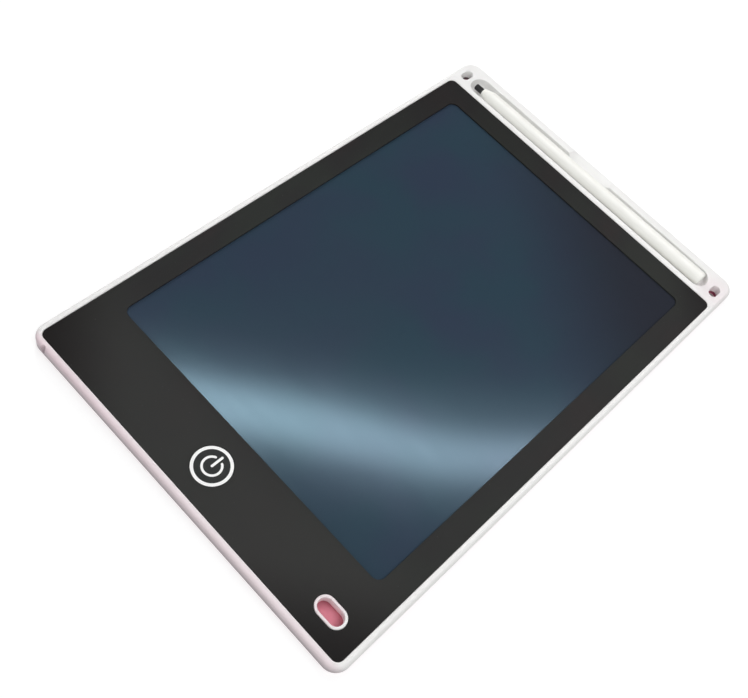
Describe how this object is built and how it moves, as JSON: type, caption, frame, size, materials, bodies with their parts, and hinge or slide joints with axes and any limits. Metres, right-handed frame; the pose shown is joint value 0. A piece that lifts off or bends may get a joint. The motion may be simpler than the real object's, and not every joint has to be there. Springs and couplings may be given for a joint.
{
  "type": "lcd writing tablet",
  "caption": "Thin handheld liquid-crystal writing tablet with a dark screen, black bezel, white rim, erase button, lock slider and a stylus lying in a trough along one edge.",
  "frame": {"origin": "middle of the back face, on the surface that the tablet lies on", "axes": "+Z out of the screen, +Y towards the stylus trough, +X to the right as the screen is read"},
  "size_m": [0.146, 0.2214, 0.0073],
  "materials": {
    "white_shell": "fine satin moulding",
    "pink_shell": "fine matte moulding",
    "black_sheet": "matte printed sheet",
    "screen_film": "soft-gloss film",
    "inner_film": "smooth film",
    "tape": "double-sided tape",
    "flex": "amber polyimide",
    "board": "green solder mask",
    "chip_black": "moulded epoxy",
    "bright_metal": "tinned or nickel-plated",
    "spring_metal": "spring strip",
    "ceramic_tan": "fired ceramic body",
    "print_white": "screen-printed ink",
    "cell_steel": "drawn steel can",
    "stylus_white": "glossy moulding",
    "nib_black": "hard moulded tip",
    "key_black": "matte moulding"
  },
  "bodies": {
    "base": {"front_frame": "white_shell", "back_cover": "pink_shell", "bezel_panel": "black_sheet", "bezel_tape": "tape", "screen_front_film": "screen_film", "liquid_crystal_layer": "inner_film", "screen_back_film": "inner_film", "screen_tape": "tape", "flex_tail": "flex", "circuit_board": "board", "driver_chip": "chip_black", "chip_legs": "bright_metal", "capacitors": "ceramic_tan", "resistors": "chip_black", "boost_inductor": "chip_black", "tact_switch_body": "chip_black", "tact_dome": "spring_metal", "slide_switch_body": "bright_metal", "top_contact": "spring_metal", "side_contact": "spring_metal"},
    "erase_key": {"erase_button": "key_black", "button_ring_print": "print_white", "button_mark_print": "print_white", "tact_plunger": "white_shell"},
    "lock": {"lock_slider": "pink_shell", "slide_switch_knob": "chip_black"},
    "battery_lid": {"battery_door": "pink_shell", "coin_cell": "cell_steel"},
    "lid_screw": {"door_screw": "bright_metal"},
    "stylus": {"stylus_barrel": "stylus_white", "stylus_nib": "nib_black", "stylus_tail_plug": "stylus_white"}
  },
  "joints": [
    {"name": "erase_press", "type": "slide", "parent": "base", "child": "erase_key", "axis": [0, 0, -1], "range_m": [0, 0.0003], "stiffness_N_per_m": 1500, "springref_m": -0.0003, "deforming": ["tact_dome"]},
    {"name": "lock_slide", "type": "slide", "parent": "base", "child": "lock", "axis": [-1, 0, 0], "range_m": [0, 0.002]},
    {"name": "battery_lid_off", "type": "slide", "parent": "base", "child": "battery_lid", "axis": [0, 0, -1], "range_m": [0, 0.012]},
    {"name": "lid_screw_turn", "type": "hinge", "parent": "battery_lid", "child": "lid_screw", "pos_m": [-0.0557, -0.0957, 0.001], "axis": [0, 0, 1], "continuous": true},
    {"name": "stylus_lift", "type": "slide", "parent": "base", "child": "stylus", "axis": [0, 0, 1], "range_m": [0, 0.03]}
  ]
}
